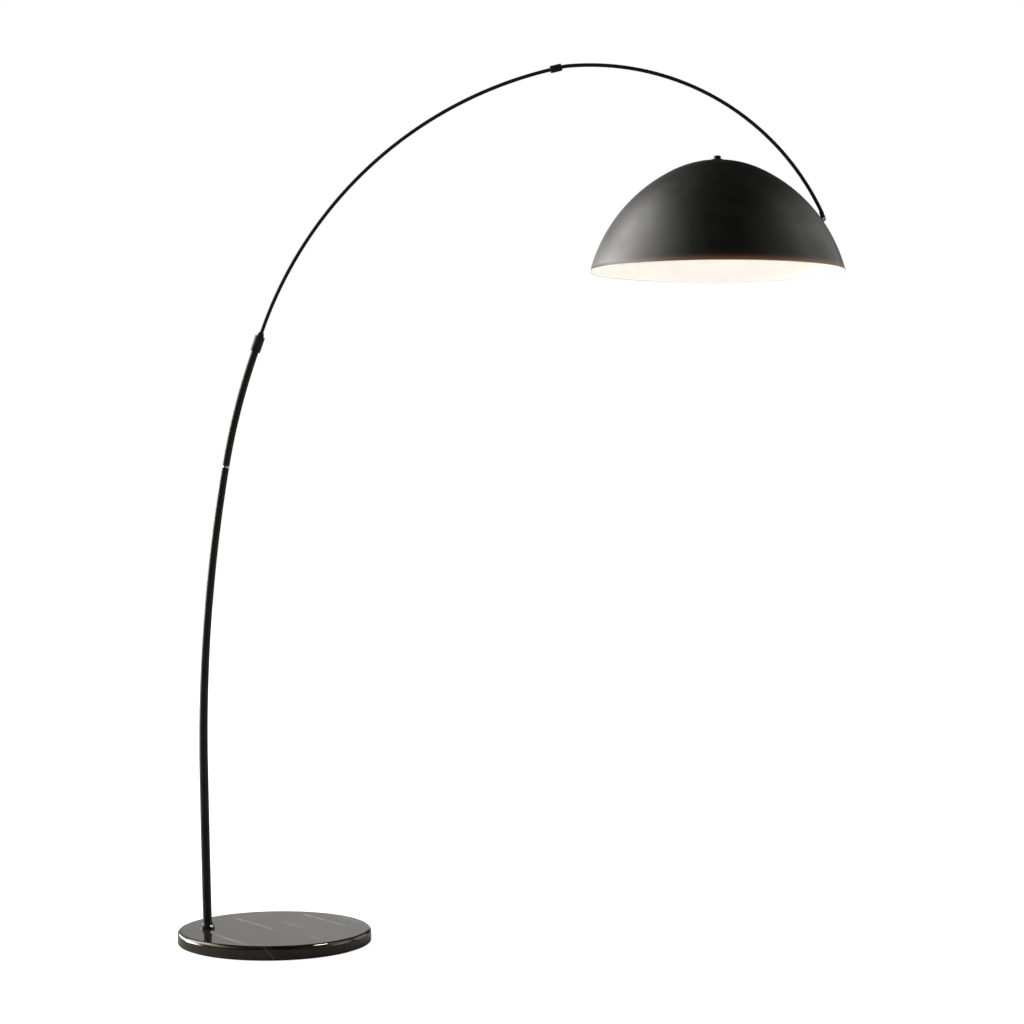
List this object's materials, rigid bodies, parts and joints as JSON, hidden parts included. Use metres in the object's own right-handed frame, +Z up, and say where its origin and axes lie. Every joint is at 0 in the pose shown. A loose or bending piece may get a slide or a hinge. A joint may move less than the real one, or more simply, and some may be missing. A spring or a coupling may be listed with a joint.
{
  "type": "arc floor lamp",
  "caption": "Arc floor lamp: thin curved black pole and rods rise from a round dark marble base and hold a wide black dome shade with a white inside.",
  "frame": {"origin": "on the floor, at the centre of the base's underside", "axes": "+Z up, +X from the pole towards the shade; the pole, rods and shade axis lie in the plane y = 0"},
  "size_m": [1.4393, 0.5498, 1.8989],
  "materials": {
    "marble": "polished dark marble with thin pale veins",
    "pad": "matt floor pad",
    "rubber": "matt",
    "black_coat": "satin black powder coat",
    "steel": "bright zinc or nickel plate",
    "brass": "plain",
    "lead_sheath": "PVC sheath",
    "shade_coat": "spun aluminium, satin black outside",
    "white_enamel": "warm white lacquer inside, lit by the bulb",
    "holder_plastic": "moulded black thermoplastic",
    "porcelain": "glazed",
    "bulb_metal": "rolled thread",
    "bulb_plastic": "white moulded",
    "opal_glass": "opal"
  },
  "bodies": {
    "stand": {"base_marble": "marble", "base_pad": "pad", "foot_stud": "steel", "foot_washer": "steel", "foot_nut": "steel", "cord_gland": "rubber", "foot_collar": "black_coat", "foot_set_screw": "steel", "pole_plug": "steel", "lower_pole": "black_coat", "joint_spigot": "steel", "joint_ring": "steel", "upper_pole": "black_coat", "pole_collar": "black_coat", "collar_set_screw": "steel", "collar_bush": "brass", "pole_lead": "lead_sheath"},
    "arm": {"rod_ferrule": "black_coat", "lower_rod": "black_coat", "rod_coupler": "black_coat", "coupler_stud": "steel", "upper_rod": "black_coat", "knuckle_fork": "black_coat", "knuckle_screw": "steel", "knuckle_nut": "steel", "arm_lead": "lead_sheath"},
    "shade": {"knuckle_eye": "black_coat", "stud_spacer": "rubber", "stud_nut": "steel", "shade_strap": "steel", "shade_shell": "shade_coat", "shade_lining": "white_enamel", "finial": "black_coat", "finial_flange": "black_coat", "hub_nipple": "steel", "hub_spacer": "rubber", "hub_nut": "steel", "holder_cap": "holder_plastic", "holder_body": "holder_plastic", "holder_core": "porcelain", "holder_shell": "brass", "holder_contact": "brass", "bulb_cap": "bulb_metal", "bulb_contact": "brass", "bulb_housing": "bulb_plastic", "bulb_globe": "opal_glass", "shade_lead": "lead_sheath"}
  },
  "joints": [
    {"name": "arm_swivel", "type": "hinge", "parent": "stand", "child": "arm", "pos_m": [-0.03667, 0, 1.29092], "axis": [0.3256, 0, 0.9455], "range_deg": [-60, 60]},
    {"name": "shade_tilt", "type": "hinge", "parent": "arm", "child": "shade", "pos_m": [1.18513, 0, 1.56329], "axis": [0, 1, 0], "range_deg": [-35, 14]}
  ]
}
